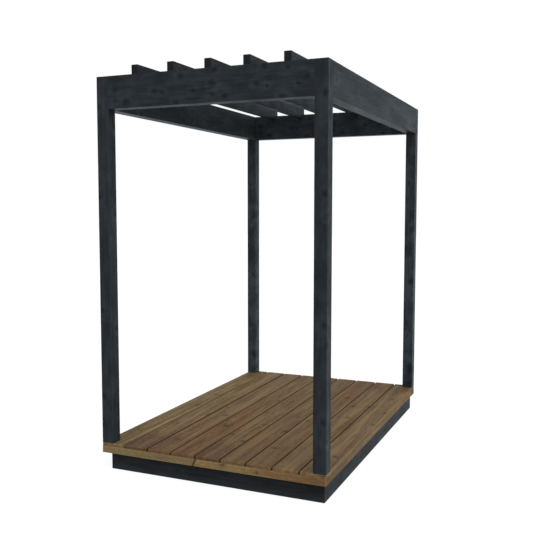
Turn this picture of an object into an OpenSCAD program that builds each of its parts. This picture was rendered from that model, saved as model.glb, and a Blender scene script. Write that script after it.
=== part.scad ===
// Timber pergola on a low deck: four posts, a ring of beams, rafters let into it, boards on a framed base

/* [Frame] */
// Outer width across the posts and the deck, side to side
frame_w = 1510; // [1300:10:2100]
// Outer depth across the posts and the deck, front to back
frame_d = 2300; // [1900:10:3000]
// Side of the square posts, and so the thickness of the beams between them
post_side = 80; // [70:1:120]
// Length of a post, from the deck up to its top
post_len = 2305; // [2000:5:2600]

/* [Roof] */
// Height of the four beams of the ring
beam_h = 200; // [150:1:260]
// Width of a rafter
rafter_w = 45; // [35:1:60]
// Height of a rafter
rafter_h = 95; // [80:1:140]
// How far a rafter stands above the ring of beams
rafter_rise = 64; // [40:1:75]
// Distance from one rafter to the next, middle to middle
rafter_pitch = 251; // [200:1:270]
// How far a rafter's end is housed in the beam that carries it
housing_len = 40; // [25:1:60]

/* [Deck] */
// Thickness of the deck boards
board_t = 21; // [18:1:32]
// Open gap between two deck boards
board_gap = 10; // [5:0.5:14]
// Height of the rails and joists under the boards
rail_h = 45; // [36:1:70]
// Width of the rails that edge the deck
rail_w = 95; // [90:1:140]
// Width of the joists between the side rails
joist_w = 70; // [45:1:95]
// Place of the joint between the two lengths of the front rail, right of the middle of the deck
rail_joint_x = -89; // [-300:1:300]
// How far that joint slants to the left from the top of the rail to its bottom
rail_joint_slant = 20; // [0:1:60]

/* [Plinth] */
// Height of the plinth that the deck stands on
plinth_h = 115; // [90:1:180]
// Thickness of the plinth boards
plinth_t = 45; // [35:1:60]
// How far the plinth stands in from the left edge of the deck
inset_left = 41; // [15:1:45]
// How far the plinth stands in from the right edge of the deck
inset_right = 22; // [15:1:45]
// How far the plinth stands in from the front edge of the deck
inset_front = 42; // [15:1:45]
// How far the plinth stands in from the back edge of the deck
inset_back = 38; // [15:1:45]

/* [Edges] */
// Radius of the eased long edges of posts, beams, rafters, rails, joists and plinth boards
arris_r = 2.5; // [1:0.5:5]
// Radius of the eased edges round the sawn ends of those timbers
end_r = 1.5; // [0.5:0.5:4]
// Radius of the rounded long edges of the deck boards
board_r = 4; // [2:0.5:7]
// Radius of the rounded edges round the ends of the deck boards
board_end_r = 3; // [1:0.5:6]

/* [Hidden] */
board_count = 9;
rafter_count = 5;
joist_count = 4;

// Gap left round a rafter's end in its housing, at its sides and its end
housing_clear = 0.5;
// Open width of the joint in the front rail, left for the timber to swell
rail_joint_gap = 2;
// Length by which a cut runs out past the face that it opens
cut_over = 5;
// Facets of a full turn of the rounded edges
edge_facets = 24;

half_w = frame_w / 2;
half_d = frame_d / 2;
rail_z = plinth_h;
board_z = rail_z + rail_h;
deck_z = board_z + board_t;
post_top = deck_z + post_len;
beam_z = post_top - beam_h;
beam_len_x = frame_w - 2 * post_side;
beam_len_y = frame_d - 2 * post_side;

rafter_z = post_top + rafter_rise - rafter_h;
rafter_y = half_d - post_side + housing_len;
housing_w = rafter_w + 2 * housing_clear;

board_w = (frame_w - (board_count - 1) * board_gap) / board_count;
board_pitch = board_w + board_gap;
side_rail_len = frame_d - 2 * rail_w;
joist_len = frame_w - 2 * rail_w;
joist_space = (side_rail_len - joist_count * joist_w) / (joist_count + 1);

plinth_x = inset_left - half_w;
plinth_w = frame_w - inset_left - inset_right;
plinth_y = inset_front - half_d;
plinth_d = frame_d - inset_front - inset_back;
plinth_side_len = plinth_d - 2 * plinth_t;

black_stain = "#2b2f31";
deck_brown = "#7a6344";
rail_brown = "#84683f";

// Cross-section of a sawn timber w wide and h high, centred, with its four arrises rounded to r
module timber_section(w, h, r) {
    square([w - 2 * r, h], center = true);
    square([w, h - 2 * r], center = true);
    for (side = [-1, 1], edge = [-1, 1])
        translate([side * (w / 2 - r), edge * (h / 2 - r)])
            circle(r = r, $fn = edge_facets);
}

// Timber with its grain along z, centred, its long edges rounded to r and the edges of its ends to tip_r
module eased_timber(w, h, len, r, tip_r) {
    intersection() {
        linear_extrude(len, center = true) timber_section(w, h, r);
        rotate([90, 0, 0]) linear_extrude(h, center = true) timber_section(w, len, tip_r);
        rotate([90, 0, 90]) linear_extrude(w, center = true) timber_section(h, len, tip_r);
    }
}

// Timbers of a given size from their low corner, with the grain along x, y or z
module timber_along_x(corner, size) {
    translate(corner + size / 2)
        rotate([90, 0, 90])
            eased_timber(size.y, size.z, size.x, arris_r, end_r);
}

module timber_along_y(corner, size, r = arris_r, tip_r = end_r) {
    translate(corner + size / 2)
        rotate([90, 0, 0])
            eased_timber(size.x, size.z, size.y, r, tip_r);
}

module timber_along_z(corner, size) {
    translate(corner + size / 2)
        eased_timber(size.x, size.y, size.z, arris_r, end_r);
}

// Posts stand on the corners of the deck: side is -1 at the left, 1 at the right; end is -1 at the front
module post(side, end) {
    low_x = side < 0 ? -half_w : half_w - post_side;
    low_y = end < 0 ? -half_d : half_d - post_side;
    color(black_stain)
        timber_along_z([low_x, low_y, deck_z], [post_side, post_side, post_len]);
}

// Middle of a rafter across the roof, counted from the left
function rafter_x(number) = (number - (rafter_count + 1) / 2) * rafter_pitch;

// Blind housings in the top of a front or back beam, open towards the middle of the roof
module rafter_housings(end) {
    reach = housing_len + housing_clear;
    low_y = end < 0 ? post_side - half_d - reach : half_d - post_side - cut_over;
    for (number = [1 : rafter_count])
        translate([rafter_x(number) - housing_w / 2, low_y, rafter_z])
            cube([housing_w, reach + cut_over, post_top - rafter_z + cut_over]);
}

// Beam between two posts at the front (end -1) or the back (end 1), with the rafters' housings
module cross_beam(end) {
    low_y = end < 0 ? -half_d : half_d - post_side;
    color(black_stain)
        difference() {
            timber_along_x([post_side - half_w, low_y, beam_z], [beam_len_x, post_side, beam_h]);
            rafter_housings(end);
        }
}

// Beam between the front and the back post of one side
module side_beam(side) {
    low_x = side < 0 ? -half_w : half_w - post_side;
    color(black_stain)
        timber_along_y([low_x, post_side - half_d, beam_z], [post_side, beam_len_y, beam_h]);
}

// Rafter on edge, with both ends seated on the floors of its housings
module rafter(number) {
    color(black_stain)
        timber_along_y([rafter_x(number) - rafter_w / 2, -rafter_y, rafter_z], [rafter_w, 2 * rafter_y, rafter_h]);
}

// Deck board from front to back, counted from the left
module deck_board(number) {
    color(deck_brown)
        timber_along_y(
            [(number - 1) * board_pitch - half_w, -half_d, board_z], [board_w, frame_d, board_t],
            board_r, board_end_r
        );
}

// Rail across the front or the back edge of the deck, laid flat
module end_rail(end) {
    low_y = end < 0 ? -half_d : half_d - rail_w;
    color(rail_brown)
        timber_along_x([-half_w, low_y, rail_z], [frame_w, rail_w, rail_h]);
}

// Space on one side of the slanted joint in the front rail: side is -1 at its left, 1 at its right
module rail_joint_side(side) {
    near_x = rail_joint_x + side * rail_joint_gap / 2;
    far_x = side * (half_w + cut_over);
    translate([0, rail_w + cut_over - half_d, rail_z])
        rotate([90, 0, 0])
            linear_extrude(rail_w + 2 * cut_over)
                polygon([
                    [near_x - rail_joint_slant / 2, 0], [near_x + rail_joint_slant / 2, rail_h],
                    [far_x, rail_h], [far_x, 0]
                ]);
}

// One length of the front rail, sawn off at the joint
module front_rail_length(side) {
    color(rail_brown)
        intersection() {
            end_rail(-1);
            rail_joint_side(side);
        }
}

// Rail along one side of the deck, between the end rails
module side_rail(side) {
    low_x = side < 0 ? -half_w : half_w - rail_w;
    color(rail_brown)
        timber_along_y([low_x, rail_w - half_d, rail_z], [rail_w, side_rail_len, rail_h]);
}

// Joist between the side rails, counted from the front
module joist(number) {
    low_y = rail_w - half_d + number * joist_space + (number - 1) * joist_w;
    color(rail_brown)
        timber_along_x([rail_w - half_w, low_y, rail_z], [joist_len, joist_w, rail_h]);
}

// Plinth board across the front or the back, on edge on the ground
module end_plinth(end) {
    low_y = end < 0 ? plinth_y : plinth_y + plinth_d - plinth_t;
    color(black_stain)
        timber_along_x([plinth_x, low_y, 0], [plinth_w, plinth_t, plinth_h]);
}

// Plinth board along the frame from front to back, between the end boards
module long_plinth(low_x) {
    color(black_stain)
        timber_along_y([low_x, plinth_y + plinth_t, 0], [plinth_t, plinth_side_len, plinth_h]);
}

module side_plinth(side) {
    long_plinth(side < 0 ? plinth_x : plinth_x + plinth_w - plinth_t);
}

// Bearer under the middle of the joists
module middle_bearer() {
    long_plinth(plinth_x + (plinth_w - plinth_t) / 2);
}

post(-1, -1);  // front_left_post
post(1, -1);  // front_right_post
post(-1, 1);  // back_left_post
post(1, 1);  // back_right_post
cross_beam(-1);  // front_beam
cross_beam(1);  // back_beam
side_beam(-1);  // left_beam
side_beam(1);  // right_beam
for (number = [1 : rafter_count])
    rafter(number);
for (number = [1 : board_count])
    deck_board(number);
front_rail_length(1);  // front_rail
front_rail_length(-1);  // front_rail_short
end_rail(1);  // back_rail
side_rail(-1);  // left_rail
side_rail(1);  // right_rail
for (number = [1 : joist_count])
    joist(number);
end_plinth(-1);  // front_plinth
end_plinth(1);  // back_plinth
side_plinth(-1);  // left_plinth
side_plinth(1);  // right_plinth
middle_bearer();
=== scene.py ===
"""Timber pergola on a low deck: black stained frame, oiled boards, all in metres in the frame's own axes."""
from collections import namedtuple
from math import pi, radians

import bpy
import numpy as np
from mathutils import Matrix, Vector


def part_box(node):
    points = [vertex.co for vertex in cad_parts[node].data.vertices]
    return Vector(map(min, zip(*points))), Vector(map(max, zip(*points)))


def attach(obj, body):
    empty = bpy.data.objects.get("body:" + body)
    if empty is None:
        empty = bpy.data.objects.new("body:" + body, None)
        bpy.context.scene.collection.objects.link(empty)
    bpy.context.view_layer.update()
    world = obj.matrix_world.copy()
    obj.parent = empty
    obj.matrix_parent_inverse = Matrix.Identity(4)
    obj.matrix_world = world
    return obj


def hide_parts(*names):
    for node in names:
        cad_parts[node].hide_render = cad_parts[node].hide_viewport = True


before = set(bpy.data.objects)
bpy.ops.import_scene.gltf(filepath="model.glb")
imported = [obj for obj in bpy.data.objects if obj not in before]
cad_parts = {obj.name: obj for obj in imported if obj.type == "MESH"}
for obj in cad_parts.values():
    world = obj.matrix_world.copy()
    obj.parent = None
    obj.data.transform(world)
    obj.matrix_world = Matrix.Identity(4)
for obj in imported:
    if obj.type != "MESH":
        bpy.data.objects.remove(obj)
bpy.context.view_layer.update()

MM = 0.001

# Camera at the photograph's viewing angle, with its focal length in pixels of the square picture
PICTURE_SIDE = 533
FOCAL_PIXELS = 739.07
SENSOR = 36.0
CAMERA_PLACE = (2.0537, -4.9954, 1.6743)
CAMERA_TURN = (radians(85.5314), 0.0, radians(23.3819))

# Studio: the surroundings' strength on matt surfaces and cool tint in reflections, a wide lamp, the floor
SURROUND = 0.60
COOL_WHITE = (0.82, 0.92, 1.0, 1.0)
PURE_WHITE = (1.0, 1.0, 1.0, 1.0)
LAMP_TURN = (radians(55), 0.0, radians(40))
LAMP_SPREAD = radians(70)
LAMP_STRENGTH = 1.85
FLOOR_SIDE = 80.0
FLOOR_GREY = 0.25
FLOOR_GLOW = 0.84
FLOOR_BOUNCE = 0.38

# Axes of a timber by the direction of its grain: across, up (or back, on a post) and along the grain
GRAIN_AXES = {
    "x": np.array([(0, 1, 0), (0, 0, 1), (1, 0, 0)], float),
    "y": np.array([(1, 0, 0), (0, 0, 1), (0, -1, 0)], float),
    "z": np.array([(1, 0, 0), (0, 1, 0), (0, 0, 1)], float),
}
GRAIN_TURN = {
    "x": (pi / 2, 0, pi / 2),
    "y": (pi / 2, 0, 0),
    "z": (0, 0, 0),
}


# Nodes

NUMBER = "NodeSocketFloat"
VECTOR = "NodeSocketVector"
COLOUR = "NodeSocketColor"


def add_node(tree, kind, values, **settings):
    """A node of one kind with its settings, and each input linked to a socket or set to a value."""
    made = tree.nodes.new(kind)
    for setting, value in settings.items():
        setattr(made, setting, value)
    for key, value in values.items():
        if isinstance(value, bpy.types.NodeSocket):
            tree.links.new(value, made.inputs[key])
        else:
            made.inputs[key].default_value = value
    return made


def maths(tree, operation, first, second=0.0, clamp=False):
    """One sum of two numbers."""
    values = {0: first, 1: second}
    return add_node(tree, "ShaderNodeMath", values, operation=operation, use_clamp=clamp).outputs[0]


def product(tree, first, *others):
    """Numbers multiplied with each other."""
    for other in others:
        first = maths(tree, "MULTIPLY", first, other)
    return first


def weighted(tree, *pairs):
    """The sum of numbers, each times its weight."""
    total = 0.0
    for value, weight in pairs:
        values = {0: value, 1: weight, 2: total}
        total = add_node(tree, "ShaderNodeMath", values, operation="MULTIPLY_ADD").outputs[0]
    return total


def vectors(tree, operation, first, second=(0.0, 0.0, 0.0)):
    """One sum of two vectors; the result is a number for a dot product or a length."""
    made = add_node(tree, "ShaderNodeVectorMath", {0: first, 1: second}, operation=operation)
    return made.outputs["Value" if operation in ("DOT_PRODUCT", "LENGTH") else "Vector"]


def scaled(tree, vector, factor):
    """A vector or a colour times one number, which isn't made a vector first."""
    return add_node(tree, "ShaderNodeVectorMath", {0: vector, "Scale": factor}, operation="SCALE").outputs[0]


def ease(tree, value, start, end, low=0.0, high=1.0):
    """A smooth step from low to high while the value goes from start to end."""
    limits = {"Value": value, "From Min": start, "From Max": end, "To Min": low, "To Max": high}
    return add_node(tree, "ShaderNodeMapRange", limits, interpolation_type="SMOOTHSTEP").outputs["Result"]


def noise(tree, place, waves, detail=2.0, roughness=0.5):
    """Soft noise from 0 to 1 with its waves to a metre along each axis."""
    vector = vectors(tree, "MULTIPLY", place, waves)
    values = {"Vector": vector, "Scale": 1.0, "Detail": detail, "Roughness": roughness}
    return add_node(tree, "ShaderNodeTexNoise", values).outputs["Fac"]


def mix(tree, share, first, second, blend="MIX"):
    """Two colours mixed by a share."""
    values = {0: share, 6: first, 7: second}
    return add_node(tree, "ShaderNodeMix", values, data_type="RGBA", blend_type=blend).outputs[2]


def tint(tree, colour, factors):
    """A colour with each channel times its own factor."""
    return vectors(tree, "MULTIPLY", colour, factors)


def opaque(colour):
    """A colour with an opacity of 1, as a socket takes it."""
    return (*colour, 1.0)


def new_group(name, inputs, outputs):
    """An empty shader group with its named sockets; returns it, its inputs and its outputs."""
    group = bpy.data.node_groups.new(name, "ShaderNodeTree")
    for label, kind in inputs.items():
        group.interface.new_socket(name=label, in_out="INPUT", socket_type=kind)
    for label, kind in outputs.items():
        group.interface.new_socket(name=label, in_out="OUTPUT", socket_type=kind)
    return group, group.nodes.new("NodeGroupInput").outputs, group.nodes.new("NodeGroupOutput").inputs


def use_group(tree, group, values):
    """A group placed in a material with its own values; returns its outputs."""
    return add_node(tree, "ShaderNodeGroup", values, node_tree=group).outputs


# Shared effects of the wood: knots, rings, worn arrises, and layers below its faces and along its length

# A noise is its waves to a metre across, up and along the grain, its detail and its roughness; a step is its
# start and end, and its values there where they aren't 0 and 1
NOISE_MIDDLE = 0.5
KNOT_NOISE = ((60.0, 60.0, 60.0), 3.0, 0.5)
KNOT_UNEVEN = 1.5
PAST_PITH = 20.0
WANDER_NOISE = ((6.0, 6.0, 0.9), 2.0, 0.5)
RING_WANDER = 0.05
FINE_WANDER_NOISE = ((40.0, 40.0, 4.0), 2.0, 0.5)
RING_FINE_WANDER = 0.004
KNOT_SWELL_STEP = (0.0, 4.0, 0.016, 0.0)
LATE_WOOD_RISE = (0.25, 0.92)
LATE_WOOD_FALL = (0.92, 1.0, 1.0, 0.0)
STREAK_NOISE = ((30.0, 30.0, 1.4), 4.0, 0.55)
LINE_NOISE = ((68.0, 68.0, 4.5), 5.0, 0.68)
FIBRE_NOISE = ((900.0, 900.0, 26.0), 2.0, 0.6)
PATCH_NOISE = ((45.0, 45.0, 45.0), 3.0, 0.5)
STRETCH_MIDDLE = 0.4


def make_branch_knot():
    """Distance from the axis of one branch, in branch radii, kept where it is less than the distance so far.

    The axis runs through Centre along Lean; behind Depth the branch has ended at the pith, so the distance
    grows there."""
    inputs = {
        "Position": VECTOR, "Centre": VECTOR, "Lean": VECTOR,
        "Girth": NUMBER, "Depth": NUMBER, "Nearest": NUMBER,
    }
    group, given, result = new_group("Branch knot", inputs, {"Nearest": NUMBER})
    offset = vectors(group, "SUBTRACT", given["Position"], given["Centre"])
    run = vectors(group, "DOT_PRODUCT", offset, given["Lean"])
    foot = scaled(group, given["Lean"], run)
    away = vectors(group, "LENGTH", vectors(group, "SUBTRACT", offset, foot))
    radii = maths(group, "DIVIDE", away, given["Girth"])
    ended = maths(group, "LESS_THAN", maths(group, "ADD", run, given["Depth"]), 0.0)
    radii = weighted(group, (radii, 1.0), (ended, PAST_PITH))
    group.links.new(maths(group, "MINIMUM", radii, given["Nearest"]), result["Nearest"])
    return group


def make_growth_rings():
    """Rings round a pith that runs along z: the fraction of (radius + wander + swell at knots) / ring width.

    Rings is the dark late wood, Streak the broad bands along the grain, Lines the narrow ones, and Raised the
    height of the late wood and of fine fibres, each times its rise."""
    inputs = {
        "Log": VECTOR, "Nearest": NUMBER,
        "Ring Width": NUMBER, "Ring Rise": NUMBER, "Fibre Rise": NUMBER,
    }
    outputs = {"Rings": NUMBER, "Streak": NUMBER, "Lines": NUMBER, "Raised": NUMBER}
    group, given, result = new_group("Growth rings", inputs, outputs)
    log = given["Log"]
    wander = noise(group, log, *WANDER_NOISE)
    fine_wander = noise(group, log, *FINE_WANDER_NOISE)
    radius = vectors(group, "LENGTH", vectors(group, "MULTIPLY", log, (1.0, 1.0, 0.0)))
    swell = ease(group, given["Nearest"], *KNOT_SWELL_STEP)
    radius = weighted(
        group, (radius, 1.0), (wander, RING_WANDER), (fine_wander, RING_FINE_WANDER), (swell, 1.0),
    )
    part = maths(group, "FRACT", maths(group, "DIVIDE", radius, given["Ring Width"]))
    late = product(group, ease(group, part, *LATE_WOOD_RISE), ease(group, part, *LATE_WOOD_FALL))
    fibre = noise(group, log, *FIBRE_NOISE)
    raised = weighted(group, (late, given["Ring Rise"]), (fibre, given["Fibre Rise"]))
    group.links.new(late, result["Rings"])
    group.links.new(noise(group, log, *STREAK_NOISE), result["Streak"])
    group.links.new(noise(group, log, *LINE_NOISE), result["Lines"])
    group.links.new(raised, result["Raised"])
    return group


def make_worn_arris():
    """How close a point is to an edge of its timber's box: the second least of its depths below the faces.

    Wear is 1 on the edge and 0 about a Width away, broken up by noise. Depths are counted as less than 0."""
    inputs = {"Position": VECTOR, "Low": VECTOR, "High": VECTOR, "Width": NUMBER}
    group, given, result = new_group("Worn arris", inputs, {"Wear": NUMBER})
    over_low = vectors(group, "SUBTRACT", given["Low"], given["Position"])
    over_high = vectors(group, "SUBTRACT", given["Position"], given["High"])
    over = vectors(group, "MAXIMUM", over_low, over_high)
    across, back, up = add_node(group, "ShaderNodeSeparateXYZ", {0: over}).outputs
    pairs = [maths(group, "MINIMUM", *pair) for pair in ((across, back), (back, up), (up, across))]
    edge = maths(group, "MAXIMUM", maths(group, "MAXIMUM", pairs[0], pairs[1]), pairs[2])
    patchy = noise(group, given["Position"], *PATCH_NOISE)
    reach = product(group, given["Width"], patchy, -1.0 / NOISE_MIDDLE)
    group.links.new(ease(group, edge, reach, 0.0), result["Wear"])
    return group


def make_timber_skin():
    """Cover of a layer below one face of a timber, kept where it is more than the cover so far.

    It is Strength down to the Shallow depth below the plane through Point that faces Facing, and 0 from the
    Deep one on."""
    inputs = {
        "Position": VECTOR, "Point": VECTOR, "Facing": VECTOR,
        "Shallow": NUMBER, "Deep": NUMBER, "Strength": NUMBER, "Cover": NUMBER,
    }
    group, given, result = new_group("Timber skin", inputs, {"Cover": NUMBER})
    inward = vectors(group, "SUBTRACT", given["Point"], given["Position"])
    depth = vectors(group, "DOT_PRODUCT", inward, given["Facing"])
    layer = product(group, ease(group, depth, given["Shallow"], given["Deep"], 1.0, 0.0), given["Strength"])
    group.links.new(maths(group, "MAXIMUM", layer, given["Cover"]), result["Cover"])
    return group


def make_timber_stretch():
    """Cover of a stretch about one place along an axis, kept where it is more than the cover so far.

    It is Strength near the Centre, and falls to 0 at Reach."""
    inputs = {
        "Position": VECTOR, "Axis": VECTOR, "Centre": VECTOR,
        "Reach": NUMBER, "Strength": NUMBER, "Cover": NUMBER,
    }
    group, given, result = new_group("Timber stretch", inputs, {"Cover": NUMBER})
    offset = vectors(group, "SUBTRACT", given["Position"], given["Centre"])
    apart = maths(group, "ABSOLUTE", vectors(group, "DOT_PRODUCT", offset, given["Axis"]))
    middle = product(group, given["Reach"], STRETCH_MIDDLE)
    layer = product(group, ease(group, apart, middle, given["Reach"], 1.0, 0.0), given["Strength"])
    group.links.new(maths(group, "MAXIMUM", layer, given["Cover"]), result["Cover"])
    return group


# Black stain: its two blacks, shades of them as factors, and the patterns and steps between the shades

BLACK = (0.0180, 0.0218, 0.0253)
PLINTH_BLACK = (0.0112, 0.0122, 0.0139)
DEEP_STAIN = (0.6, 0.6, 0.6)
THIN_STAIN = (1.75, 1.75, 1.75)
KNOT_STAIN = (0.36, 0.36, 0.36)
END_STAIN = (0.6, 0.6, 0.6)
LOWER_EDGE_PALE = (1.9, 2.1, 2.05)
WORN_STAIN = (2.4, 2.4, 2.4)
BROAD_CLOUDS = (16.0, 16.0, 9.0)
LONG_CLOUDS = (11.0, 11.0, 2.5)
CLOUD_DETAIL = 4.0
CLOUD_ROUGHNESS = 0.58
CLOUD_STEP = (0.25, 0.75)
PLAIN_CLOUDS = 0.19
MIDDLE_SHADE = 0.33
WISP_NOISE = ((45.0, 45.0, 20.0), 3.0, 0.6)
FLAME_RISE = (0.9, 2.2)
FLAME_FALL = (2.0, 5.5, 1.0, 0.0)
FLAME_WISPS = (0.3, 0.65)
FLAME_SHADE = 0.25
LINE_STEP = (0.3, 0.7, -0.13, 0.13)
RING_SHADE = 0.06
BLACK_KNOT_STEP = (0.0, 1.6, 0.75, 0.0)
LOWER_EDGE_WISPS = (0.3, 0.6, 0.4, 1.0)
STAIN_WEAR = 0.3
COAT_STEP = (0.1, 0.7, 0.78, 1.22)
STAIN_ROUGHNESS = (0.0, 1.0, 0.44, 0.56)
FRAME_GLOSS = 0.72
PLINTH_GLOSS = 0.66


def make_black_stain():
    """Colour, roughness and coat of black stain that soaked in cloudily.

    Its shade, from deep to thin, is clouds along the grain, pale flames round the knots, fine lines, and less
    on the late wood. Knots and ends are darker, arrises and the part towards the lower edge paler; painted
    light, which makes some faces paler, is added to the colour's factor of 1, and the coat is lost where it
    was Rained On."""
    inputs = {
        "Log": VECTOR, "Nearest": NUMBER, "Rings": NUMBER, "Lines": NUMBER, "Wear": NUMBER,
        "Stain": COLOUR, "Clouds": VECTOR, "Cloudy": NUMBER, "Gloss": NUMBER,
        "Ends": NUMBER, "Painted Light": NUMBER, "Paler Below": NUMBER, "Rained On": NUMBER,
    }
    outputs = {"Colour": COLOUR, "Roughness": NUMBER, "Coat": NUMBER}
    group, given, result = new_group("Black stain", inputs, outputs)
    nearest, stain = given["Nearest"], given["Stain"]
    wisps = noise(group, given["Log"], *WISP_NOISE)
    clouds = noise(group, given["Log"], given["Clouds"], CLOUD_DETAIL, CLOUD_ROUGHNESS)
    lowest = maths(group, "SUBTRACT", MIDDLE_SHADE, given["Cloudy"])
    highest = maths(group, "ADD", MIDDLE_SHADE, given["Cloudy"])
    clouds = ease(group, clouds, *CLOUD_STEP, lowest, highest)
    flames = product(group, ease(group, nearest, *FLAME_RISE), ease(group, nearest, *FLAME_FALL))
    flames = product(group, flames, ease(group, wisps, *FLAME_WISPS))
    lines = ease(group, given["Lines"], *LINE_STEP)
    shade = weighted(group, (clouds, 1.0), (flames, FLAME_SHADE), (lines, 1.0))
    shade = maths(group, "SUBTRACT", shade, product(group, given["Rings"], RING_SHADE), True)

    colour = mix(group, shade, tint(group, stain, DEEP_STAIN), tint(group, stain, THIN_STAIN))
    colour = mix(group, ease(group, nearest, *BLACK_KNOT_STEP), colour, tint(group, stain, KNOT_STAIN))
    colour = mix(group, given["Ends"], colour, tint(group, stain, END_STAIN))
    # Painted light: some faces are made paler
    colour = scaled(group, colour, maths(group, "ADD", given["Painted Light"], 1.0))
    # Paler towards the lower edge, in wisps
    lower_pale = product(group, given["Paler Below"], ease(group, wisps, *LOWER_EDGE_WISPS))
    colour = mix(group, lower_pale, colour, tint(group, stain, LOWER_EDGE_PALE))
    colour = mix(group, product(group, given["Wear"], STAIN_WEAR), colour, tint(group, stain, WORN_STAIN))
    sheltered = maths(group, "SUBTRACT", 1.0, given["Rained On"])
    coat = product(group, ease(group, shade, *COAT_STEP), given["Gloss"], sheltered)
    group.links.new(colour, result["Colour"])
    group.links.new(ease(group, shade, *STAIN_ROUGHNESS), result["Roughness"])
    group.links.new(coat, result["Coat"])
    return group


# Brown oil: shades of a timber's brown as factors, and the patterns and steps between the shades

DARK_STREAK = (0.62, 0.55, 0.47)
YELLOW_STREAK = (1.5, 1.55, 1.4)
PALE_SAPWOOD = (1.45, 1.55, 1.35)
SOAKED_TINT = (0.66, 0.63, 0.72)
KNOT_HALO = (0.55, 0.52, 0.5)
GREY_KNOT = (0.32, 0.37, 0.48)
DARK_END = (0.41, 0.32, 0.275)
PALE_END = (0.82, 0.71, 0.645)
# Worn arrises, paler as wear and as a painted highlight
WORN_HIGHLIGHT_BROWN = (1.4, 1.4, 1.35)
# Painted highlight on the faces at the deck's edge, as a factor
EDGE_HIGHLIGHT = (1.16, 1.18, 1.17)
# Painted shade in the gaps between boards, and the darkening of a dirty joint, as factors of the brown
SHADE_AND_GRIME_BROWN = (0.2, 0.17, 0.15)
FLECK_NOISE = ((120.0, 120.0, 40.0), 4.0, 0.7)
BLOOM_NOISE = ((12.0, 12.0, 2.5), 3.0, 0.55)
STREAK_PART = 0.28
LINE_PART = 0.32
FLECK_PART = 0.4
DARK_STEP = (0.43, 0.505)
YELLOW_STEP = (0.5, 0.575)
END_STEP = (0.43, 0.57)
SAPWOOD_STREAKS = (0.35, 0.65, 0.1, 0.8)
BLUSH_BLOOM = (0.32, 0.62, 0.4, 1.0)
SOAKED_LINES = (0.3, 0.7, 1.15, 0.85)
RING_STRENGTH = 0.35
HALO_STEP = (0.8, 3.0, 0.45, 0.0)
GREY_KNOT_STEP = (0.4, 1.3, 0.9, 0.0)
BROWN_WEAR_HIGHLIGHT = 0.35
OIL_ROUGHNESS = (0.2, 0.8, 0.7, 0.58)


def make_brown_oil():
    """Colour and roughness of brown oil on softwood.

    Bands of streaks, lines and flecks go from dark over brown to yellow by Figure. Pale sapwood, a red blush,
    stretches where the oil soaked in, late wood, grey knots with a halo, end grain, worn arrises paler as
    wear and a painted highlight, faces paler as a painted highlight, and painted shade in the gaps with the
    darkening of dirty joints lie over them in this order. End grain of a strength over 1 is darker by what is
    over."""
    inputs = {
        "Log": VECTOR, "Nearest": NUMBER, "Rings": NUMBER, "Streak": NUMBER, "Lines": NUMBER, "Wear": NUMBER,
        "Brown": COLOUR, "Figure": NUMBER, "Sapwood": NUMBER, "Blush": NUMBER, "Blush Tint": COLOUR,
        "Soaked": NUMBER, "Ends": NUMBER, "End Strength": NUMBER, "Pale": NUMBER, "Shade And Grime": NUMBER,
    }
    group, given, result = new_group("Brown oil", inputs, {"Colour": COLOUR, "Roughness": NUMBER})
    nearest, brown = given["Nearest"], given["Brown"]
    streak, lines, figure = given["Streak"], given["Lines"], given["Figure"]
    flecks = noise(group, given["Log"], *FLECK_NOISE)
    bloom = noise(group, given["Log"], *BLOOM_NOISE)
    bands = weighted(group, (streak, STREAK_PART), (lines, LINE_PART), (flecks, FLECK_PART))
    dark = tint(group, brown, DARK_STREAK)

    plain = maths(group, "SUBTRACT", 1.0, figure)
    colour = mix(group, ease(group, bands, *DARK_STEP, plain, 1.0), dark, brown)
    yellow = ease(group, bands, *YELLOW_STEP, 0.0, figure)
    colour = mix(group, yellow, colour, tint(group, brown, YELLOW_STREAK))
    sapwood = product(group, given["Sapwood"], ease(group, streak, *SAPWOOD_STREAKS))
    colour = mix(group, sapwood, colour, tint(group, brown, PALE_SAPWOOD))
    blush = product(group, given["Blush"], ease(group, bloom, *BLUSH_BLOOM))
    colour = mix(group, blush, colour, given["Blush Tint"], "MULTIPLY")
    soaked = product(group, given["Soaked"], ease(group, lines, *SOAKED_LINES))
    colour = mix(group, soaked, colour, opaque(SOAKED_TINT), "MULTIPLY")
    colour = mix(group, product(group, given["Rings"], RING_STRENGTH), colour, dark)
    colour = mix(group, ease(group, nearest, *HALO_STEP), colour, tint(group, brown, KNOT_HALO))
    colour = mix(group, ease(group, nearest, *GREY_KNOT_STEP), colour, tint(group, brown, GREY_KNOT))
    end_shade = maths(group, "MINIMUM", maths(group, "SUBTRACT", 2.0, given["End Strength"]), 1.0)
    end_brown = scaled(group, brown, end_shade)
    end_dark, end_pale = tint(group, end_brown, DARK_END), tint(group, end_brown, PALE_END)
    end_grain = mix(group, ease(group, bands, *END_STEP), end_dark, end_pale)
    colour = mix(group, product(group, given["Ends"], given["End Strength"]), colour, end_grain)
    # Worn arrises paler, as wear and as a painted highlight
    colour = mix(group, product(group, given["Wear"], BROWN_WEAR_HIGHLIGHT), colour, tint(group, brown, WORN_HIGHLIGHT_BROWN))
    # Painted highlight on the faces at the deck's edge
    colour = mix(group, given["Pale"], colour, opaque(EDGE_HIGHLIGHT), "MULTIPLY")
    # Painted shade on the faces at the gaps, and the darkening of a dirty joint
    colour = mix(group, given["Shade And Grime"], colour, tint(group, brown, SHADE_AND_GRIME_BROWN))
    group.links.new(colour, result["Colour"])
    group.links.new(ease(group, streak, *OIL_ROUGHNESS), result["Roughness"])
    return group


BRANCH_KNOT = make_branch_knot()
GROWTH_RINGS = make_growth_rings()
WORN_ARRIS = make_worn_arris()
TIMBER_SKIN = make_timber_skin()
TIMBER_STRETCH = make_timber_stretch()
BLACK_STAIN = make_black_stain()
BROWN_OIL = make_brown_oil()


# Finishes of single timbers

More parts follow.
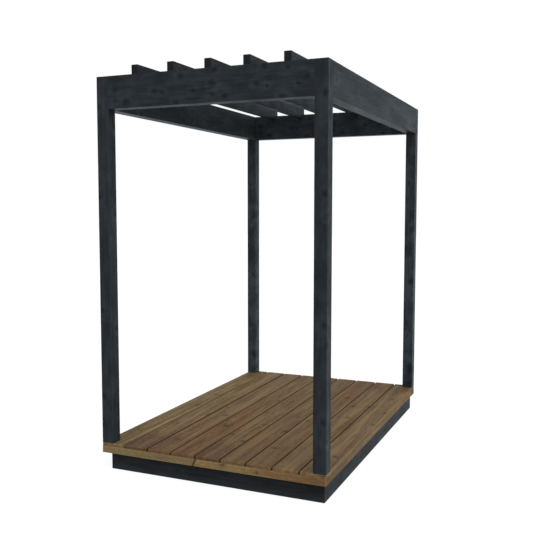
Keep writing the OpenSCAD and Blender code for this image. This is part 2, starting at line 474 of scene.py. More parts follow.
FRAME_WOOD = {"Ring Width": 4.2 * MM, "Ring Rise": 0.5, "Fibre Rise": 0.5}
DECK_WOOD = {"Ring Width": 6 * MM, "Ring Rise": 0.6, "Fibre Rise": 0.4}
FRAME_WORN_WIDTH = 4 * MM
DECK_WORN_WIDTH = 6 * MM
FRAME_BUMP = 0.35
DECK_BUMP = 0.4
BUMP_HEIGHT = 0.6 * MM
NO_KNOT = 30.0
BRANCH_LEAN = 0.75
BLACK_SPECULAR = 0.0
BLACK_COAT_IOR = 1.2
BLACK_COAT_ROUGHNESS = 0.45
BROWN_SPECULAR = 0.06
RAIN_LOSS = 0.95
SAPWOOD_REACH = 0.04
SOAKED_REACH = 0.42
JOINT_GRIME = 0.8
# Strength of the painted shade on the tops of rails and joists, seen through the gaps
RAIL_GAP_SHADE = 0.4

# Depths in which a layer below a face fades
BLACK_END_DEPTHS = (1 * MM, 5 * MM)
BLACK_FACE_DEPTHS = (0.5 * MM, 3 * MM)
LOWER_EDGE_DEPTHS = (18 * MM, 46 * MM)
BROWN_END_DEPTHS = (2 * MM, 6 * MM)
BROWN_FACE_DEPTHS = (0.5 * MM, 4 * MM)
GAP_SHADE_DEPTHS = (0.3 * MM, 2 * MM)
JOINT_DEPTHS = (1 * MM, 13 * MM)

# Depths that branches reach from a face: to the pith, or right through a board
POST_BRANCH = 45 * MM
BEAM_BRANCH = 30 * MM
RAFTER_BRANCH = 20 * MM
BOARD_BRANCH = 1.0


def timber_box(piece):
    """Low and high corner of a piece's node as arrays."""
    return tuple(np.array(corner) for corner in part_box(piece))


def box_faces(piece, ways):
    """Planes of a timber's box as a point and the way they face, for ways such as -x and +z."""
    low, high = timber_box(piece)
    planes = []
    for way in ways.split():
        facing = np.zeros(3)
        facing["xyz".index(way[1])] = 1.0 if way[0] == "+" else -1.0
        planes.append((high if way[0] == "+" else low, facing))
    return planes


def both_ends(grain):
    """The two end faces of a timber by the direction of its grain."""
    return f"-{grain} +{grain}"


def skin(tree, position, planes, depths, strength=1.0, cover=0.0):
    """A layer below each of the planes at one strength, over the cover so far."""
    for point, facing in planes if strength else ():
        values = {
            "Position": position, "Point": tuple(point), "Facing": tuple(facing),
            "Shallow": depths[0], "Deep": depths[1], "Strength": strength, "Cover": cover,
        }
        cover = use_group(tree, TIMBER_SKIN, values)["Cover"]
    return cover


def stretch(tree, position, axis, centre, reach, strength=1.0, cover=0.0):
    """A stretch about a place along an axis at one strength, over the cover so far."""
    if not strength:
        return cover
    values = {
        "Position": position, "Axis": tuple(axis), "Centre": tuple(centre),
        "Reach": reach, "Strength": strength, "Cover": cover,
    }
    return use_group(tree, TIMBER_STRETCH, values)["Cover"]


def knot_field(tree, position, piece, grain, knots, depth):
    """Distance to the nearest of a timber's knots, in knot radii.

    A knot is three shares of the timber's box and a radius in millimetres; its branch leaves the face where a
    share is 0 or 1 and leans along the grain. Noise makes the outlines uneven. It is added once, because
    noise in each of many knots needs more room than the renderer has for one material."""
    low, high = timber_box(piece)
    nearest = NO_KNOT
    for *shares, radius in knots:
        shares = np.array(shares)
        out = (shares >= 1.0).astype(float) - (shares <= 0.0)
        lean = out + BRANCH_LEAN * GRAIN_AXES[grain][2]
        values = {
            "Position": position, "Centre": tuple(low + shares * (high - low)),
            "Lean": tuple(lean / np.linalg.norm(lean)),
            "Girth": radius * MM, "Depth": depth, "Nearest": nearest,
        }
        nearest = use_group(tree, BRANCH_KNOT, values)["Nearest"]
    if not knots:
        return nearest
    uneven = maths(tree, "SUBTRACT", noise(tree, position, *KNOT_NOISE), NOISE_MIDDLE)
    return weighted(tree, (nearest, 1.0), (uneven, KNOT_UNEVEN))


def log_coordinates(tree, position, grain, pith):
    """Coordinates with the pith at x = y = 0 and the grain along z."""
    values = {"Vector": position, "Location": tuple(pith), "Rotation": GRAIN_TURN[grain]}
    return add_node(tree, "ShaderNodeMapping", values, vector_type="TEXTURE").outputs["Vector"]


def start_finish(name):
    """A material with its shader and the Object coordinates that every finish reads."""
    finish = bpy.data.materials.new(name)
    finish.use_nodes = True
    tree = finish.node_tree
    position = tree.nodes.new("ShaderNodeTexCoord").outputs["Object"]
    return finish, tree, tree.nodes["Principled BSDF"], position


def worn_arrises(tree, position, piece, width):
    """Wear along the edges of a timber's box."""
    low, high = timber_box(piece)
    values = {"Position": position, "Low": tuple(low), "High": tuple(high), "Width": width}
    return use_group(tree, WORN_ARRIS, values)["Wear"]


def raise_grain(tree, shader, raised, strength):
    """Bump of the raised grain."""
    values = {"Strength": strength, "Distance": BUMP_HEIGHT, "Height": raised}
    tree.links.new(add_node(tree, "ShaderNodeBump", values).outputs["Normal"], shader.inputs["Normal"])


def black_stain(
    piece, grain, pith, knots=(), branch=POST_BRANCH, stain=BLACK, tone_and_painted_light=1.0, gloss=FRAME_GLOSS,
    paler_below=0.0, clouds=BROAD_CLOUDS, cloudy=PLAIN_CLOUDS, painted_light_faces=(),
):
    """Black stain on one timber of sawn softwood.

    Pith is the place of its log's pith from the timber's middle. It can be made paler towards its lower edge
    at a given strength, and faces, such as +x, paler as painted light, each with its factor."""
    finish, tree, shader, position = start_finish(piece + "_black_stain")
    nearest = knot_field(tree, position, piece, grain, knots, branch)
    log = log_coordinates(tree, position, grain, np.mean(timber_box(piece), axis=0) + pith)
    wood = use_group(tree, GROWTH_RINGS, {**FRAME_WOOD, "Log": log, "Nearest": nearest})
    painted_light = 0.0
    # Painted light: the stain of the given faces is made paler by their factors
    for way, factor in painted_light_faces:
        painted_light = skin(tree, position, box_faces(piece, way), BLACK_FACE_DEPTHS, factor - 1.0, painted_light)
    values = {
        "Log": log, "Nearest": nearest, "Rings": wood["Rings"], "Lines": wood["Lines"],
        "Wear": worn_arrises(tree, position, piece, FRAME_WORN_WIDTH),
        "Stain": opaque(tone_and_painted_light * channel for channel in stain),
        "Clouds": clouds, "Cloudy": cloudy, "Gloss": gloss,
        "Ends": skin(tree, position, box_faces(piece, both_ends(grain)), BLACK_END_DEPTHS),
        "Painted Light": painted_light,
        "Paler Below": skin(tree, position, box_faces(piece, "-z"), LOWER_EDGE_DEPTHS, paler_below),
        "Rained On": skin(tree, position, box_faces(piece, "+z"), BLACK_FACE_DEPTHS, RAIN_LOSS),
    }
    stained = use_group(tree, BLACK_STAIN, values)
    tree.links.new(stained["Colour"], shader.inputs["Base Color"])
    tree.links.new(stained["Roughness"], shader.inputs["Roughness"])
    tree.links.new(stained["Coat"], shader.inputs["Coat Weight"])
    shader.inputs["Specular IOR Level"].default_value = BLACK_SPECULAR
    shader.inputs["Coat IOR"].default_value = BLACK_COAT_IOR
    shader.inputs["Coat Roughness"].default_value = BLACK_COAT_ROUGHNESS
    raise_grain(tree, shader, wood["Raised"], FRAME_BUMP)
    return finish


# Look of an oiled timber: its brown; the red blush's strength, place and reach along it, and tint; the place
# of the sapwood across it; the strength of its end grain; how much oil soaked in at its low and its high end;
# and the strength of its streaks
Look = namedtuple("Look", "brown blush blush_place blush_reach blush_tint sapwood ends soaked figure")


def brown_oil(piece, grain, pith, look, ends, shaded_faces, knots=(), gap_shade=RAIL_GAP_SHADE, pale="", joint=()):
    """Brown oil on one timber of softwood.

    Pith is the place of its log's pith from the timber's middle; ends, the faces at the gaps and pale are
    faces such as -x and +z, those at the gaps darkened as painted shade at one strength and the pale ones
    lightened as a painted highlight; joint is the planes of a sawn joint, which are dirty too."""
    finish, tree, shader, position = start_finish(piece + "_brown_oil")
    low, high = timber_box(piece)
    across, _, along = np.abs(GRAIN_AXES[grain])
    nearest = knot_field(tree, position, piece, grain, knots, BOARD_BRANCH)
    log = log_coordinates(tree, position, grain, (low + high) / 2 + pith)
    wood = use_group(tree, GROWTH_RINGS, {**DECK_WOOD, "Log": log, "Nearest": nearest})
    sap_place = low + look.sapwood * (high - low)
    blush_place = low + look.blush_place * (high - low)
    soaked = 0.0
    for strength, end in zip(look.soaked, (low, high)):
        soaked = stretch(tree, position, along, end, SOAKED_REACH, strength, soaked)
    # Painted shade on the faces at the gaps, then the darkening of a dirty sawn joint
    shade_and_grime = skin(tree, position, box_faces(piece, shaded_faces), GAP_SHADE_DEPTHS, gap_shade)
    shade_and_grime = skin(tree, position, joint, JOINT_DEPTHS, JOINT_GRIME, shade_and_grime)
    values = {
        "Log": log, "Nearest": nearest,
        "Rings": wood["Rings"], "Streak": wood["Streak"], "Lines": wood["Lines"],
        "Wear": worn_arrises(tree, position, piece, DECK_WORN_WIDTH),
        "Brown": opaque(look.brown), "Figure": look.figure,
        "Sapwood": stretch(tree, position, across, sap_place, SAPWOOD_REACH),
        "Blush": stretch(tree, position, along, blush_place, look.blush_reach, look.blush),
        "Blush Tint": opaque(look.blush_tint), "Soaked": soaked,
        "Ends": skin(tree, position, box_faces(piece, ends), BROWN_END_DEPTHS), "End Strength": look.ends,
        "Pale": skin(tree, position, box_faces(piece, pale), BROWN_FACE_DEPTHS), "Shade And Grime": shade_and_grime,
    }
    oiled = use_group(tree, BROWN_OIL, values)
    tree.links.new(oiled["Colour"], shader.inputs["Base Color"])
    tree.links.new(oiled["Roughness"], shader.inputs["Roughness"])
    shader.inputs["Specular IOR Level"].default_value = BROWN_SPECULAR
    raise_grain(tree, shader, wood["Raised"], DECK_BUMP)
    return finish


# Timbers

ARC_STEPS = 5
SUPPORT = 1.2 * MM
STATION_STEP = 0.03
ARRIS_RUB = 0.5 * MM
RUB_LENGTHS = (0.61, 0.23, 0.11, 0.047)
SPLIT_WANDER = 2 * MM
SPLIT_LENGTHS = (0.9, 0.37, 0.13)
SPLIT_END_WIDTH = 0.15
SHARP_EDGE = radians(38)

# Ranges of the drying splits: share across a side, start and end as shares of half the timber, and half width
# and depth in millimetres
SPLIT_PLACE = (-0.45, 0.45)
SPLIT_START = (-1.1, 0.3)
SPLIT_END = (0.15, 0.7)
SPLIT_HALF_WIDTH = (0.25, 0.6)
SPLIT_DEPTH = (3, 9)


def ripple(along, draw, lengths):
    """Mean of sines of the given wave lengths with drawn phases, from -1 to 1."""
    phases = draw.uniform(0, 2 * pi, len(lengths))
    return np.sin(2 * pi * along[:, None] / np.array(lengths) + phases).mean(axis=1)


def drying_splits(draw, count):
    """Splits as side, share across it, start and end along the timber, half width and depth."""
    return [
        (
            int(draw.integers(4)), draw.uniform(*SPLIT_PLACE),
            draw.uniform(*SPLIT_START), draw.uniform(*SPLIT_END),
            draw.uniform(*SPLIT_HALF_WIDTH) * MM, draw.uniform(*SPLIT_DEPTH) * MM,
        )
        for _ in range(count)
    ]


def timber_stations(reach, tip):
    """Places along the grain and the inset there: quarter circles at the tips, evenly spaced between them."""
    turn = np.linspace(pi / 2, 0, ARC_STEPS)
    tip_along = -reach + tip * (1 - np.sin(turn))
    tip_inset = tip * (1 - np.cos(turn))
    inner = reach - tip - SUPPORT
    middle = np.linspace(-inner, inner, max(3, int(2 * inner / STATION_STEP)))
    along = np.concatenate([tip_along, middle, -tip_along[::-1]])
    inset = np.concatenate([tip_inset, np.zeros(len(middle)), tip_inset[::-1]])
    along = np.concatenate([along[:1], along, along[-1:]])
    inset = np.concatenate([inset[:1] + SUPPORT, inset, inset[-1:] + SUPPORT])
    return along, inset


def section_columns(splits, side_half):
    """Columns round a timber's section: side, share along it, turn of the arris, split and lip of the split.

    Each side has its two ends with a support beside them, three columns for each of its splits, with lips
    -1, 0 and 1, and then the quarter turn of its arris. Split is -1 where there is none."""
    side, share, turn, split, lip = [], [], [], [], []
    for k in range(4):
        edge = 1 - SUPPORT / side_half[k]
        here = [(place, n, p) for n, (at, place, *_) in enumerate(splits) for p in (-1, 0, 1) if at == k]
        here = sorted(here, key=lambda column: (column[0], column[2]))
        columns = [(-1, -1, 0), (-edge, -1, 0), *here, (edge, -1, 0)]
        share += [column[0] for column in columns] + [1] * ARC_STEPS
        split += [column[1] for column in columns] + [-1] * ARC_STEPS
        lip += [column[2] for column in columns] + [0] * ARC_STEPS
        turn += [0] * len(columns) + list(np.linspace(0, pi / 2, ARC_STEPS, endpoint=False))
        side += [k] * (len(columns) + ARC_STEPS)
    return np.array(side), np.array(share, float), np.array(turn, float), np.array(split), np.array(lip)


def timber_faces(stations, columns):
    """Four-sided faces between the stations' rings, and a fan at each end to the two poles after them."""
    index = np.arange(stations * columns).reshape(stations, columns)
    after = np.roll(index, -1, axis=1)
    quads = np.stack([index[:-1], after[:-1], after[1:], index[1:]], axis=2).reshape(-1, 4)
    foot = np.stack([np.full(columns, index.size), after[0], index[0]], axis=1)
    head = np.stack([np.full(columns, index.size + 1), index[-1], after[-1]], axis=1)
    return quads.tolist() + foot.tolist() + head.tolist()


def worn_timber(piece, grain, arris, tip, seed, splits=0):
    """A rounded rectangle carried along the grain, worn at its arrises and opened by drying splits.

    A column of the section is a side, a share along it and a turn of the arris; a point is the inset
    rectangle plus the arris radius along the column's normal. Each split is three columns that wander along
    the grain, the middle one sunk inwards by depth * sqrt(1 - s * s), s from -1 to 1 along the split."""
    low, high = timber_box(piece)
    draw = np.random.default_rng(seed)
    axes = GRAIN_AXES[grain]
    half_across, half_up, reach = np.abs(axes @ (high - low)) / 2
    along, inset = timber_stations(reach, tip)
    side_half = np.array([half_up, half_across, half_up, half_across]) - arris
    side_out = np.array([half_across, half_up, half_across, half_up]) - arris
    drawn_splits = drying_splits(draw, splits)
    side, share, turn, split, lip = section_columns(drawn_splits, side_half)

    facing = side * pi / 2
    out = np.stack([np.cos(facing), np.sin(facing)], axis=1)
    run = np.stack([-out[:, 1], out[:, 0]], axis=1)
    normal = np.stack([np.cos(facing + turn), np.sin(facing + turn)], axis=1)

    shift = np.zeros((len(along), len(side)))
    sunk = np.zeros_like(shift)
    for n, (_, _, start, end, opening, depth) in enumerate(drawn_splits):
        middle, length = (start + end) / 2 * reach, (end - start) / 2 * reach
        open_share = np.sqrt(np.clip(1 - ((along - middle) / length) ** 2, 0, 1))
        wander = SPLIT_WANDER * ripple(along, draw, SPLIT_LENGTHS)
        width = opening * (SPLIT_END_WIDTH + open_share)
        mine = split == n
        shift += np.where(mine, wander[:, None] + lip * width[:, None], 0)
        sunk += np.where(mine & (lip == 0), (depth * open_share)[:, None], 0)
    rub = np.stack([np.clip(ripple(along, draw, RUB_LENGTHS), 0, 1) for _ in range(4)], axis=1)
    rubbed = ARRIS_RUB * rub[:, side] * np.sin(2 * turn)

    out_reach = (side_out[side] - inset[:, None])[..., None] * out
    run_reach = (share * (side_half[side] - inset[:, None]) + shift)[..., None] * run
    section = out_reach + run_reach + (arris - rubbed)[..., None] * normal
    section = section * (1 - sunk[..., None] / np.linalg.norm(section, axis=2, keepdims=True))
    rings = np.dstack([section, np.broadcast_to(along[:, None], shift.shape)])
    poles = np.array([(0, 0, -reach), (0, 0, reach)])
    local = np.concatenate([rings.reshape(-1, 3), poles])
    points = (low + high) / 2 + local @ axes

    mesh = bpy.data.meshes.new(piece + "_timber")
    mesh.from_pydata(points.tolist(), [], timber_faces(*shift.shape))
    mesh.shade_smooth()
    mesh.set_sharp_from_angle(angle=SHARP_EDGE)
    timber = bpy.data.objects.new(piece + "_timber", mesh)
    bpy.context.scene.collection.objects.link(timber)
    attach(timber, "root")
    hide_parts(piece)
    return timber


def dress_node(piece, finish):
    """The finish on a node that keeps its own mesh."""
    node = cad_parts[piece]
    node.data.materials.clear()
    node.data.materials.append(finish)


def dress_timber(timber, finish):
    """The finish on a new timber."""
    timber.data.materials.append(finish)


# Arris and tip radii of the sawn timbers and of the deck boards
SAWN_ARRIS = 2.5 * MM
SAWN_TIP = 1.5 * MM
BOARD_ARRIS = 4 * MM
BOARD_TIP = 3 * MM

# Seeds of the wear and the splits
POST_SEED = 11
SIDE_BEAM_SEED = 21
RAFTER_SEED = 31
PLINTH_SEED = 41
BOARD_SEED = 51
RAIL_SEED = 71

# Place of a pith from its timber's middle, and the step to the next timber's, so that no two share a grain
POST_PITH, POST_STEP = np.array((0.004, -0.006, 5.0)), np.array((0.0, 0.0, 3.0))
LONG_BEAM_PITH, LONG_BEAM_STEP = np.array((9.0, 0.02, -0.05)), np.array((4.0, 0.0, 0.0))
SIDE_BEAM_PITH, SIDE_BEAM_STEP = np.array((0.01, 17.0, -0.05)), np.array((0.0, 4.0, 0.0))
RAFTER_PITH, RAFTER_STEP = np.array((0.005, 30.0, -0.02)), np.array((0.0, 4.0, 0.0))
PLINTH_PITH, PLINTH_STEP = np.array((50.0, 0.01, -0.03)), np.array((5.0, 0.0, 0.0))
BEARER_PITH = np.array((0.0, 80.0, -0.03))
BOARD_PITH, BOARD_STEP = np.array((0.0, 100.0, -0.05)), np.array((0.0, 6.0, 0.0))
BOARD_SWING, SWING_TURN = np.array((0.03, 0.0, 0.0)), 2.4
RAIL_PITH, RAIL_STEP = np.array((160.0, 0.02, -0.06)), np.array((5.0, 0.0, 0.0))
FRONT_RAIL_PITH = np.array((180.0, 0.02, -0.06))
JOIST_PITH, JOIST_STEP = np.array((200.0, 0.02, -0.06)), np.array((5.0, 0.0, 0.0))


# Frame: posts, beams and rafters, with knots as shares across or along and up, and radii in millimetres

FRONT_POST_KNOTS = ((0.81, 0.92, 14), (0.80, 0.683, 13), (0.82, 0.369, 15), (0.76, 0.13, 13))
MIRRORED_POST_KNOTS = tuple((1 - across, up, radius) for across, up, radius in FRONT_POST_KNOTS)
BACK_POST_KNOTS = ((0.36, 0.74, 9), (0.86, 0.626, 23), (0.72, 0.39, 19), (0.42, 0.19, 9), (0.88, 0.073, 23))
BEAM_KNOTS = (
    (0.04, 0.56, 14), (0.04, 0.24, 11), (0.10, 0.18, 15), (0.25, 0.45, 11), (0.29, 0.38, 8), (0.38, 0.83, 12),
    (0.36, 0.05, 13), (0.445, 0.38, 10), (0.537, 0.56, 15), (0.55, 0.95, 11), (0.537, 0.23, 12),
    (0.597, 0.17, 14), (0.745, 0.44, 12), (0.78, 0.91, 12), (0.79, 0.37, 7), (0.885, 0.83, 10),
    (0.86, 0.05, 14), (0.967, 0.55, 13), (0.93, 0.38, 8),
)
SIDE_BEAM_KNOT_SIZE = 0.9
RAFTER_KNOT_SIZE = 0.7
POST_SIDE_KNOT_SIZE = 0.8
POST_BACK_KNOT_SIZE = 0.9
RIGHT_DROP = 0.05
LEFT_DROP = 0.03
BACK_DROP = 0.04


def post_knots(places):
    """The knots of a post's front, and smaller ones somewhat lower on its right, left and back."""
    side, back = POST_SIDE_KNOT_SIZE, POST_BACK_KNOT_SIZE
    knots = [(across, 0.0, up, radius) for across, up, radius in places]
    knots += [(1.0, 1 - across, up - RIGHT_DROP, side * radius) for across, up, radius in places]
    knots += [(0.0, across, up - LEFT_DROP, side * radius) for across, up, radius in places[1:]]
    knots += [(1 - across, 1.0, up - BACK_DROP, back * radius) for across, up, radius in places[:3]]
    return knots


def side_knots(left, right, size):
    """Knots on the left and the right face of a timber that runs front to back."""
    knots = [(0.0, along, up, size * radius) for along, up, radius in left]
    return knots + [(1.0, 1 - along, up, size * radius) for along, up, radius in right]


# Each post's tone, gloss, strength of its clouds, faces whose stain is paler as painted light, and knots
POSTS = {
    "front_left_post": (0.94, 0.8, PLAIN_CLOUDS, [("+x", 1.4)], MIRRORED_POST_KNOTS),
    "front_right_post": (0.98, FRAME_GLOSS, PLAIN_CLOUDS, (), FRONT_POST_KNOTS),
    # The back posts' tones over 1 are painted light: their stain is made paler for the shade they stand in
    "back_left_post": (1.54, FRAME_GLOSS, 0.34, (), BACK_POST_KNOTS),
    "back_right_post": (1.3, FRAME_GLOSS, 0.38, (), BACK_POST_KNOTS),
}
for number, (piece, (tone_and_painted_light, gloss, cloudy, painted_light_faces, places)) in enumerate(POSTS.items()):
    post = worn_timber(piece, "z", SAWN_ARRIS, SAWN_TIP, POST_SEED + number, splits=4)
    pith = POST_PITH + number * POST_STEP
    finish = black_stain(
        piece, "z", pith, post_knots(places), tone_and_painted_light=tone_and_painted_light, gloss=gloss, cloudy=cloudy, painted_light_faces=painted_light_faces,
    )
    dress_timber(post, finish)

for number, piece in enumerate(("front_beam", "back_beam")):
    knots = [(along, 0.0, up, radius) for along, up, radius in BEAM_KNOTS]
    knots += [(1 - along, 1.0, up, radius) for along, up, radius in BEAM_KNOTS]
    pith = LONG_BEAM_PITH + number * LONG_BEAM_STEP
    dress_node(piece, black_stain(piece, "x", pith, knots, BEAM_BRANCH))

# Each side beam's gloss, strength of its clouds, faces whose stain is paler as painted light, and knots
SIDE_BEAMS = {
    "left_beam": (0.85, PLAIN_CLOUDS, [("+x", 1.5)], BEAM_KNOTS),
    "right_beam": (FRAME_GLOSS, 0.15, (), BEAM_KNOTS[2::5]),
}
for number, (piece, (gloss, cloudy, painted_light_faces, places)) in enumerate(SIDE_BEAMS.items()):
    beam = worn_timber(piece, "y", SAWN_ARRIS, SAWN_TIP, SIDE_BEAM_SEED + number, splits=4)
    pith = SIDE_BEAM_PITH + number * SIDE_BEAM_STEP
    knots = side_knots(places, places, SIDE_BEAM_KNOT_SIZE)
    finish = black_stain(
        piece, "y", pith, knots, BEAM_BRANCH, gloss=gloss, clouds=LONG_CLOUDS, cloudy=cloudy, painted_light_faces=painted_light_faces,
    )
    dress_timber(beam, finish)

for number in range(1, 6):
    piece = f"rafter_{number}"
    rafter = worn_timber(piece, "y", SAWN_ARRIS, SAWN_TIP, RAFTER_SEED + number, splits=2)
    pith = RAFTER_PITH + number * RAFTER_STEP
    knots = side_knots(BEAM_KNOTS[number::4], BEAM_KNOTS[number::3], RAFTER_KNOT_SIZE)
    dress_timber(rafter, black_stain(piece, "y", pith, knots, RAFTER_BRANCH))


# Plinth: boards on edge by their grain and how much paler they are towards their lower edge, and the bearer

PLINTHS = {
    "front_plinth": ("x", 0.55),
    "back_plinth": ("x", 0.1),
    "left_plinth": ("y", 0.1),
    "right_plinth": ("y", 0.1),
}
for number, (piece, (grain, paler_below)) in enumerate(PLINTHS.items()):
    plinth = worn_timber(piece, grain, SAWN_ARRIS, SAWN_TIP, PLINTH_SEED + number, splits=2)
    pith = PLINTH_PITH + number * PLINTH_STEP
    finish = black_stain(piece, grain, pith, stain=PLINTH_BLACK, gloss=PLINTH_GLOSS, paler_below=paler_below)
    dress_timber(plinth, finish)
dress_node("middle_bearer", black_stain("middle_bearer", "y", BEARER_PITH, stain=PLINTH_BLACK))


# Deck: boards, rails and joists, with the boards' knots as shares across and along, and radii in millimetres

DECK_KNOTS = (
    ((0.40, 0.139, 9), (0.76, 0.452, 14), (0.70, 0.595, 11), (0.80, 0.75, 9)),
    ((0.36, 0.24, 9), (0.97, 0.362, 13)),
    ((0.50, 0.104, 12), (0.70, 0.376, 10), (0.20, 0.46, 7)),
    ((0.36, 0.278, 15), (0.88, 0.605, 10), (0.70, 0.873, 9)),
    ((0.14, 0.204, 9), (0.90, 0.163, 13), (0.07, 0.463, 10)),
    ((0.92, 0.292, 13), (0.66, 0.445, 9)),
    ((0.33, 0.143, 11), (0.20, 0.42, 8), (0.64, 0.737, 15)),
    ((0.30, 0.637, 12), (0.60, 0.504, 9), (0.98, 0.655, 13), (0.46, 0.915, 9)),
    ((0.64, 0.142, 9), (0.88, 0.6, 10), (0.88, 0.46, 9), (0.62, 0.773, 9)),
)
DECK_KNOT_SIZE = 1.25
REDDISH = (1.0, 0.80, 0.76)
DULL_RED = (0.93, 0.78, 0.78)
BOARD_LOOKS = (
    Look((0.186, 0.129, 0.062), 0.5, 1.0, 0.5, REDDISH, 0.92, 0.0, (0.4, 0.55), 1.0),
    Look((0.168, 0.110, 0.0545), 0.8, 0.0, 0.85, DULL_RED, 0.6, 1.18, (1.1, 0.15), 1.0),
    Look((0.162, 0.102, 0.051), 0.7, 0.0, 0.9, REDDISH, 0.75, 0.8, (0.65, 0.0), 0.8),
    Look((0.158, 0.095, 0.046), 0.9, 0.0, 1.3, REDDISH, 0.95, 0.8, (0.42, 0.35), 0.95),
    Look((0.157, 0.100, 0.050), 0.4, 0.1, 0.5, REDDISH, 0.4, 1.08, (0.92, 0.3), 1.0),
    Look((0.147, 0.092, 0.046), 0.5, 0.25, 0.8, REDDISH, 0.35, 0.35, (0.05, 0.3), 0.68),
    Look((0.157, 0.096, 0.047), 0.8, 0.9, 1.0, REDDISH, 0.1, 0.42, (0.1, 0.48), 0.7),
    Look((0.160, 0.103, 0.052), 0.5, 1.0, 0.6, REDDISH, 0.6, 0.05, (0.15, 0.65), 0.82),
    Look((0.162, 0.106, 0.053), 0.3, 1.0, 0.5, REDDISH, 0.4, 0.45, (0.0, 0.52), 0.9),
)
# Strength of the painted shade on each board's sides in the gaps
GAP_SHADE = (0.3, 0.95, 0.35, 0.6, 0.4, 0.5, 0.25, 0.4, 0.4)

# Faces of the two outer boards beside a gap, darkened as painted shade, and at the deck's edge, paler as a
# painted highlight
GAP_FACES = {1: "+x", 9: "-x"}
EDGE_FACES = {1: "-x", 9: "+x"}

for number, (places, look, gap_shade) in enumerate(zip(DECK_KNOTS, BOARD_LOOKS, GAP_SHADE), start=1):
    piece = f"deck_board_{number}"
    board = worn_timber(piece, "y", BOARD_ARRIS, BOARD_TIP, BOARD_SEED + number)
    pith = BOARD_PITH + number * BOARD_STEP + np.sin(SWING_TURN * number) * BOARD_SWING
    knots = [(across, along, 1.0, DECK_KNOT_SIZE * radius) for across, along, radius in places]
    gaps = GAP_FACES.get(number, "-x +x")
    # The faces at the deck's edge get a painted highlight
    edge = EDGE_FACES.get(number, "")
    finish = brown_oil(piece, "y", pith, look, both_ends("y"), gaps, knots, gap_shade, edge)
    dress_timber(board, finish)

PLUM_RED = (0.82, 0.72, 0.80)
DEEP_RED = (0.76, 0.57, 0.56)
RAIL_LOOK = Look((0.184, 0.132, 0.062), 0.2, 0.5, 0.6, REDDISH, 0.5, 0.9, (0.0, 0.0), 0.6)
SIDE_RAIL_LOOK = Look((0.184, 0.125, 0.061), 1.0, 0.0, 0.95, PLUM_RED, 0.5, 0.9, (0.65, 0.0), 0.6)
FRONT_RAIL_LOOK = Look((0.214, 0.151, 0.069), 1.6, 1.0, 0.58, DEEP_RED, 0.5, 0.9, (0.2, 0.6), 0.6)
SHORT_RAIL_LOOK = Look((0.188, 0.141, 0.069), 0.2, 0.5, 0.6, REDDISH, 0.5, 0.9, (0.0, 0.45), 0.6)
RAILS = {
    "back_rail": ("x", RAIL_LOOK),
    "left_rail": ("y", SIDE_RAIL_LOOK),
    "right_rail": ("y", SIDE_RAIL_LOOK),
}
for number, (piece, (grain, look)) in enumerate(RAILS.items()):
    rail = worn_timber(piece, grain, SAWN_ARRIS, SAWN_TIP, RAIL_SEED + number, splits=1)
    pith = RAIL_PITH + number * RAIL_STEP
    dress_timber(rail, brown_oil(piece, grain, pith, look, both_ends(grain), "+z"))

# The front rail's two lengths meet in a slanted joint: their knots, look, outer end and the joint's way
FRONT_RAIL_KNOTS = ((0.236, 0.0, 0.86, 14), (0.50, 0.0, 0.4, 9))
JOINT_SLANT = 20 * MM
FRONT_RAILS = {
    "front_rail": (FRONT_RAIL_KNOTS, FRONT_RAIL_LOOK, "+x", -1.0),
    "front_rail_short": ((), SHORT_RAIL_LOOK, "-x", 1.0),
}
rail_low, rail_high = timber_box("front_rail")
joint_place = (rail_low + timber_box("front_rail_short")[1]) / 2
joint_facing = np.array((rail_high[2] - rail_low[2], 0.0, -JOINT_SLANT))
joint_facing /= np.linalg.norm(joint_facing)
for piece, (knots, look, outer_end, way) in FRONT_RAILS.items():
    joint = [(joint_place, way * joint_facing)]
    dress_node(piece, brown_oil(piece, "x", FRONT_RAIL_PITH, look, outer_end, "+z", knots, joint=joint))

for number in range(1, 5):
    piece = f"joist_{number}"
    pith = JOIST_PITH + number * JOIST_STEP
    dress_node(piece, brown_oil(piece, "x", pith, RAIL_LOOK, both_ends("x"), "+z"))


# Camera, light and floor

def place_camera():
    """Camera at the photograph's place, turn and angle of view."""
    lens = bpy.data.cameras.new("photo_camera")
    lens.sensor_width = SENSOR
    lens.lens = FOCAL_PIXELS / PICTURE_SIDE * SENSOR
    camera = bpy.data.objects.new("photo_camera", lens)
    camera.location = CAMERA_PLACE
    camera.rotation_euler = CAMERA_TURN
    bpy.context.scene.collection.objects.link(camera)
    bpy.context.scene.camera = camera


def studio_white(tree, matt_strength, seen_strength):
    """Colour and strength of the studio: white to the camera, cool in reflections, weak on matt surfaces."""
    path = tree.nodes.new("ShaderNodeLightPath").outputs
    mirrored = maths(tree, "MAXIMUM", path["Is Glossy Ray"], path["Is Transmission Ray"])
    seen = maths(tree, "MAXIMUM", path["Is Camera Ray"], mirrored)
    strength = ease(tree, seen, 0.0, 1.0, matt_strength, seen_strength)
    return mix(tree, mirrored, PURE_WHITE, COOL_WHITE), strength


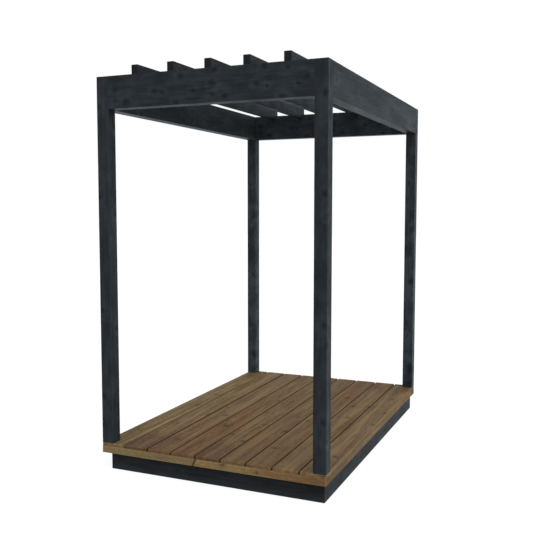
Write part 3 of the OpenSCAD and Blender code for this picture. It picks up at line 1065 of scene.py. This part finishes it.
def light_studio():
    """White surroundings at a plain level, and one wide soft lamp from the front right."""
    world = bpy.data.worlds.new("white_studio")
    world.use_nodes = True
    tree = world.node_tree
    colour, strength = studio_white(tree, SURROUND, 1.0)
    background = tree.nodes["Background"]
    tree.links.new(colour, background.inputs["Color"])
    tree.links.new(strength, background.inputs["Strength"])
    bpy.context.scene.world = world
    glow = bpy.data.lights.new("wide_lamp", "SUN")
    glow.angle = LAMP_SPREAD
    glow.energy = LAMP_STRENGTH
    lamp = bpy.data.objects.new("wide_lamp", glow)
    lamp.rotation_euler = LAMP_TURN
    bpy.context.scene.collection.objects.link(lamp)


def outside_plinth(tree, position):
    """1 outside the ring of plinth boards and 0 inside it, where the floor's glow is taken away as a painted
    shadow under the deck.
    """
    low = (timber_box("left_plinth")[0] + timber_box("front_plinth")[0]) / 2
    high = (timber_box("right_plinth")[1] + timber_box("back_plinth")[1]) / 2
    apart = vectors(tree, "ABSOLUTE", vectors(tree, "SUBTRACT", position, tuple((low + high) / 2)))
    share = vectors(tree, "DIVIDE", apart, tuple((high - low) / 2))
    across, back, _ = add_node(tree, "ShaderNodeSeparateXYZ", {0: share}).outputs
    return maths(tree, "GREATER_THAN", maths(tree, "MAXIMUM", across, back), 1.0)


def lay_floor():
    """A pale floor, white to the camera, that keeps a soft shadow and is seen through from below."""
    side = FLOOR_SIDE / 2
    mesh = bpy.data.meshes.new("studio_floor")
    corners = [(-side, -side, 0.0), (side, -side, 0.0), (side, side, 0.0), (-side, side, 0.0)]
    mesh.from_pydata(corners, [], [(0, 1, 2, 3)])
    pale, tree, shader, position = start_finish("studio_floor")
    shader.inputs["Base Color"].default_value = (FLOOR_GREY, FLOOR_GREY, FLOOR_GREY, 1.0)
    shader.inputs["Roughness"].default_value = 1.0
    shader.inputs["Specular IOR Level"].default_value = 0.0
    # The floor doesn't glow to the camera or in reflections inside the plinth ring: a painted shadow under
    # the deck
    glow = maths(tree, "MULTIPLY", outside_plinth(tree, position), FLOOR_GLOW)
    colour, strength = studio_white(tree, FLOOR_BOUNCE, glow)
    tree.links.new(colour, shader.inputs["Emission Color"])
    tree.links.new(strength, shader.inputs["Emission Strength"])
    from_below = tree.nodes.new("ShaderNodeNewGeometry").outputs["Backfacing"]
    tree.links.new(maths(tree, "SUBTRACT", 1.0, from_below), shader.inputs["Alpha"])
    mesh.materials.append(pale)
    floor = bpy.data.objects.new("studio_floor", mesh)
    bpy.context.scene.collection.objects.link(floor)


place_camera()
light_studio()
lay_floor()
bpy.context.scene.view_settings.view_transform = "Standard"
